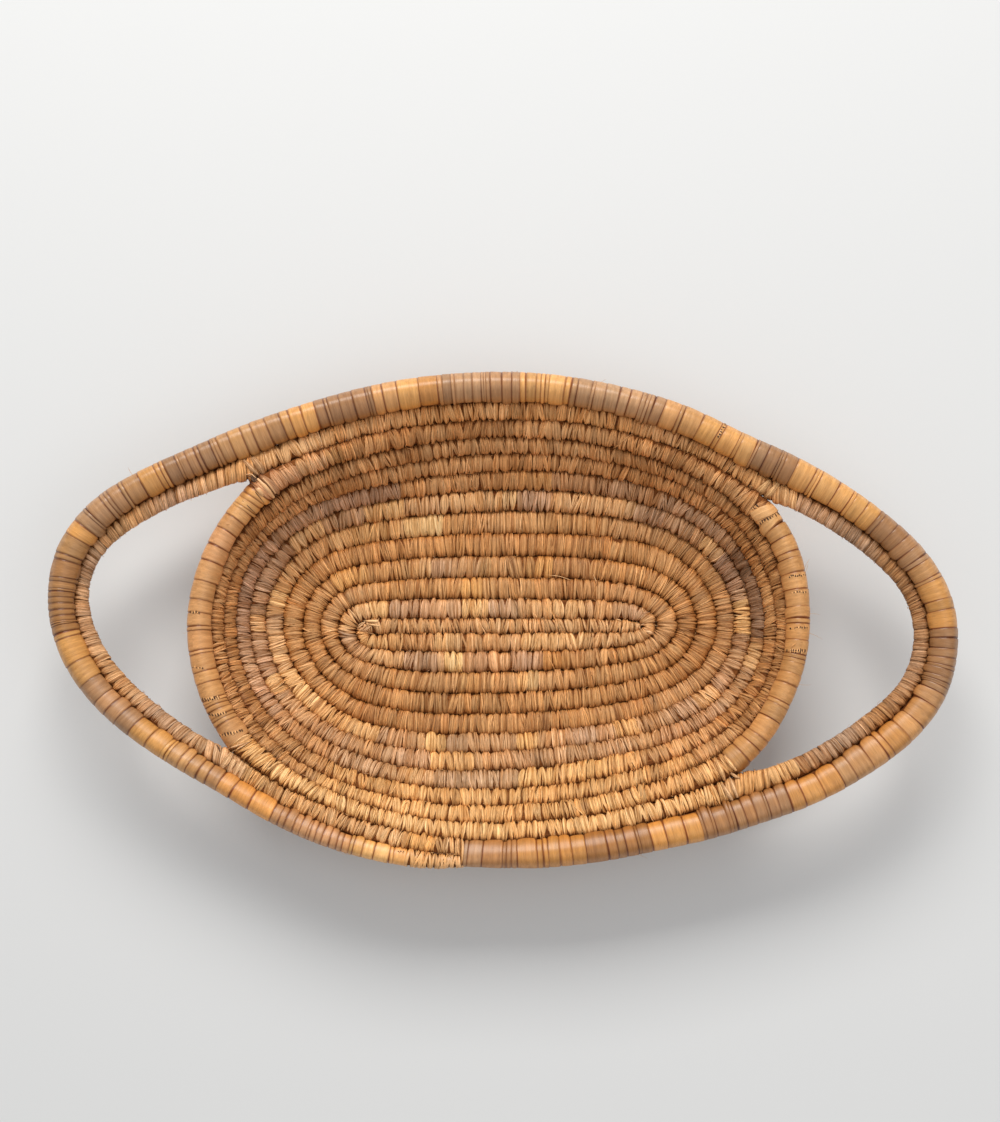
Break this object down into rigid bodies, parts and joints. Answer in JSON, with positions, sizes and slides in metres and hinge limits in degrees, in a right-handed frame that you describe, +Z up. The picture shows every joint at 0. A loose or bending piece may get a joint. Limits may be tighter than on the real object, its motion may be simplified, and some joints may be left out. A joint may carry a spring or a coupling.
{
  "type": "coiled basket tray",
  "caption": "Oval coiled tray with a flat base, low sloping sides and a loop handle at each end, sewn from wrapped rows of grass coil.",
  "frame": {"origin": "centre of the bounding box in plan, at the underside of the base", "axes": "+X along the tray's length from the left handle to the right one, +Y across to the far long side, +Z up out of the open side"},
  "size_m": [0.5554, 0.308, 0.0684],
  "materials": {
    "tan_strip": "satin split palm strip over grass, tan",
    "ochre_strip": "satin split palm strip over grass, ochre",
    "mauve_strip": "satin split palm strip over grass, grey-mauve",
    "gold_wrap": "semi-gloss wide palm leaf strip, gold",
    "leaf_wrap": "semi-gloss wide palm leaf strip, tan to grey-brown"
  },
  "bodies": {
    "root": {"start_whipping": "leaf_wrap", "start_row": "tan_strip", "start_turn": "tan_strip", "base_round_1": "mauve_strip", "base_round_2": "tan_strip", "base_round_3": "ochre_strip", "base_round_4": "ochre_strip", "base_round_5": "tan_strip", "wall_round_6": "mauve_strip", "wall_round_7": "mauve_strip", "wall_round_8": "tan_strip", "wall_round_9": "ochre_strip", "near_side_row_10": "ochre_strip", "end_rim_right": "leaf_wrap", "end_rim_wrap_right": "gold_wrap", "far_side_row_10": "tan_strip", "end_rim_wrap_left": "gold_wrap", "end_rim_left": "leaf_wrap", "near_side_row_11": "ochre_strip", "handle_lashing_near_right": "leaf_wrap", "handle_inner_right": "tan_strip", "handle_lashing_far_right": "leaf_wrap", "far_side_row_11": "tan_strip", "handle_lashing_far_left": "leaf_wrap", "handle_inner_left": "tan_strip", "handle_lashing_near_left": "leaf_wrap", "near_side_row_12": "mauve_strip", "rim_near_side": "gold_wrap", "rim_handle_right": "gold_wrap", "rim_far_side": "leaf_wrap", "rim_handle_left": "leaf_wrap", "rim_tail": "gold_wrap"}
  },
  "joints": []
}
